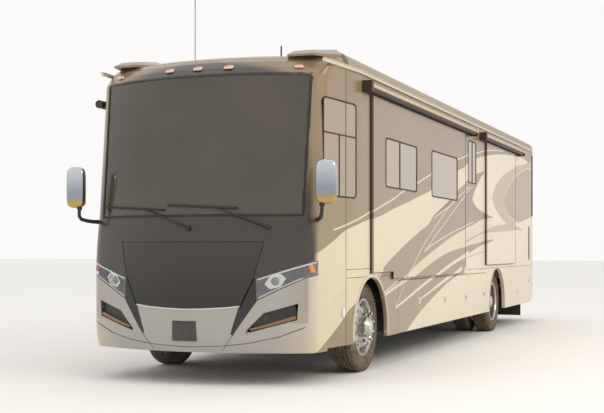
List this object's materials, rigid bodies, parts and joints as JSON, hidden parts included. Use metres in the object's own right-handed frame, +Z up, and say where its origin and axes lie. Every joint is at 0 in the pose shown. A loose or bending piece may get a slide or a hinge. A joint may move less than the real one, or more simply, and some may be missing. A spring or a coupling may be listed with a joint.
{
  "type": "motorhome",
  "caption": "Full-size bus-style motorhome with steered front wheels, slide-out rooms, an entry door, luggage bay doors, a front hood and a rear engine hatch.",
  "frame": {"origin": "centre of the footprint on the ground, at mid-length and mid-width", "axes": "+Z up, -Y towards the nose, +X towards the driver's side"},
  "size_m": [2.88, 11.4, 3.995],
  "materials": {
    "bronze_paint": "gloss",
    "hood_paint": "gloss",
    "taupe_paint": "gloss",
    "cream_paint": "gloss",
    "silver_paint": "satin",
    "roof_skin": "satin",
    "screen_glass": "clear",
    "window_glass": "clear",
    "black_trim": "satin",
    "chrome": "polished",
    "lamp": "gloss",
    "amber_lamp": "gloss",
    "tyre": "matte",
    "chassis_black": "matte",
    "steel": "brushed",
    "floor_board": "matte",
    "bay_lining": "matte",
    "dash_plastic": "matte",
    "seat_leather": "satin",
    "awning_fabric": "matte"
  },
  "bodies": {
    "coach": {"chassis_frame": "chassis_black", "front_axle": "chassis_black", "rear_axle": "chassis_black", "engine_block": "chassis_black", "cabin_floor": "floor_board", "front_cap": "bronze_paint", "windshield": "screen_glass", "driver_side_wall": "taupe_paint", "passenger_side_wall": "taupe_paint", "roof": "roof_skin", "rear_cap": "taupe_paint", "side_skirts": "cream_paint", "storage_bays": "bay_lining", "front_bumper": "silver_paint", "headlights": "lamp", "grille_blades": "black_trim", "small_lamps": "amber_lamp", "window_glass": "window_glass", "mirrors": "chrome", "wipers": "black_trim", "roof_units": "roof_skin", "antennas": "black_trim", "patio_awning": "awning_fabric", "rear_bumper": "taupe_paint", "hitch_receiver": "chassis_black", "rock_guard": "black_trim", "dashboard": "dash_plastic", "seats": "seat_leather", "seat_bases": "black_trim", "steering_wheel": "black_trim"},
    "left_knuckle": {"knuckle_left": "steel"},
    "right_knuckle": {"knuckle_right": "steel"},
    "left_front_wheel": {"front_tire_left": "tyre", "front_rim_left": "chrome"},
    "right_front_wheel": {"front_tire_right": "tyre", "front_rim_right": "chrome"},
    "left_rear_wheels": {"rear_tires_left": "tyre", "rear_rims_left": "chrome"},
    "right_rear_wheels": {"rear_tires_right": "tyre", "rear_rims_right": "chrome"},
    "entry_door": {"entry_door": "taupe_paint", "entry_door_glass": "window_glass"},
    "hood": {"hood": "hood_paint"},
    "main_slide_out": {"main_slide": "taupe_paint", "main_slide_glass": "window_glass", "main_topper": "awning_fabric"},
    "bedroom_slide_out": {"bedroom_slide": "taupe_paint", "bedroom_topper": "awning_fabric"},
    "engine_hatch": {"engine_hatch": "taupe_paint"},
    "left_bay_door_1": {"bay_door_left_1": "cream_paint"},
    "left_bay_door_2": {"bay_door_left_2": "cream_paint"},
    "left_bay_door_3": {"bay_door_left_3": "cream_paint"},
    "left_bay_door_4": {"bay_door_left_4": "cream_paint"},
    "right_bay_door_1": {"bay_door_right_1": "cream_paint"},
    "right_bay_door_2": {"bay_door_right_2": "cream_paint"}
  },
  "joints": [
    {"name": "steer_left", "type": "hinge", "parent": "coach", "child": "left_knuckle", "pos_m": [0.885, -3.915, 0.467], "axis": [0, 0, 1], "range_deg": [-35, 35]},
    {"name": "steer_right", "type": "hinge", "parent": "coach", "child": "right_knuckle", "pos_m": [-0.885, -3.915, 0.467], "axis": [0, 0, 1], "range_deg": [-35, 35]},
    {"name": "left_front_spin", "type": "hinge", "parent": "left_knuckle", "child": "left_front_wheel", "pos_m": [1.07, -3.915, 0.467], "axis": [1, 0, 0], "continuous": true},
    {"name": "right_front_spin", "type": "hinge", "parent": "right_knuckle", "child": "right_front_wheel", "pos_m": [-1.07, -3.915, 0.467], "axis": [1, 0, 0], "continuous": true},
    {"name": "left_rear_spin", "type": "hinge", "parent": "coach", "child": "left_rear_wheels", "pos_m": [1, 2.44, 0.467], "axis": [1, 0, 0], "continuous": true},
    {"name": "right_rear_spin", "type": "hinge", "parent": "coach", "child": "right_rear_wheels", "pos_m": [-1, 2.44, 0.467], "axis": [1, 0, 0], "continuous": true},
    {"name": "entry_door_hinge", "type": "hinge", "parent": "coach", "child": "entry_door", "pos_m": [-1.2077, -5.14, 1.49], "axis": [0, 0, 1], "range_deg": [0, 90]},
    {"name": "hood_hinge", "type": "hinge", "parent": "coach", "child": "hood", "pos_m": [0, -5.67, 1.428], "axis": [-1, 0, 0], "range_deg": [0, 65]},
    {"name": "engine_hatch_hinge", "type": "hinge", "parent": "coach", "child": "engine_hatch", "pos_m": [0, 5.685, 1.56], "axis": [1, 0, 0], "range_deg": [0, 80]},
    {"name": "main_slide", "type": "slide", "parent": "coach", "child": "main_slide_out", "axis": [1, 0, 0], "range_m": [0, 0.75]},
    {"name": "bedroom_slide", "type": "slide", "parent": "coach", "child": "bedroom_slide_out", "axis": [1, 0, 0], "range_m": [0, 0.6]},
    {"name": "left_bay_hinge_1", "type": "hinge", "parent": "coach", "child": "left_bay_door_1", "pos_m": [1.2825, -2.9795, 0.635], "axis": [0, 0, -1], "range_deg": [0, 110]},
    {"name": "left_bay_hinge_2", "type": "hinge", "parent": "coach", "child": "left_bay_door_2", "pos_m": [1.2825, -1.9365, 0.635], "axis": [0, 0, -1], "range_deg": [0, 110]},
    {"name": "left_bay_hinge_3", "type": "hinge", "parent": "coach", "child": "left_bay_door_3", "pos_m": [1.2825, -0.6745, 0.635], "axis": [0, 0, -1], "range_deg": [0, 110]},
    {"name": "left_bay_hinge_4", "type": "hinge", "parent": "coach", "child": "left_bay_door_4", "pos_m": [1.2825, 0.4735, 0.635], "axis": [0, 0, -1], "range_deg": [0, 110]},
    {"name": "right_bay_hinge_1", "type": "hinge", "parent": "coach", "child": "right_bay_door_1", "pos_m": [-1.2825, -2.9795, 0.635], "axis": [0, 0, 1], "range_deg": [0, 110]},
    {"name": "right_bay_hinge_2", "type": "hinge", "parent": "coach", "child": "right_bay_door_2", "pos_m": [-1.2825, -0.8265, 0.635], "axis": [0, 0, 1], "range_deg": [0, 110]}
  ],
  "couplings": [
    {"joint": "steer_right", "follows": "steer_left", "ratio": 1}
  ]
}
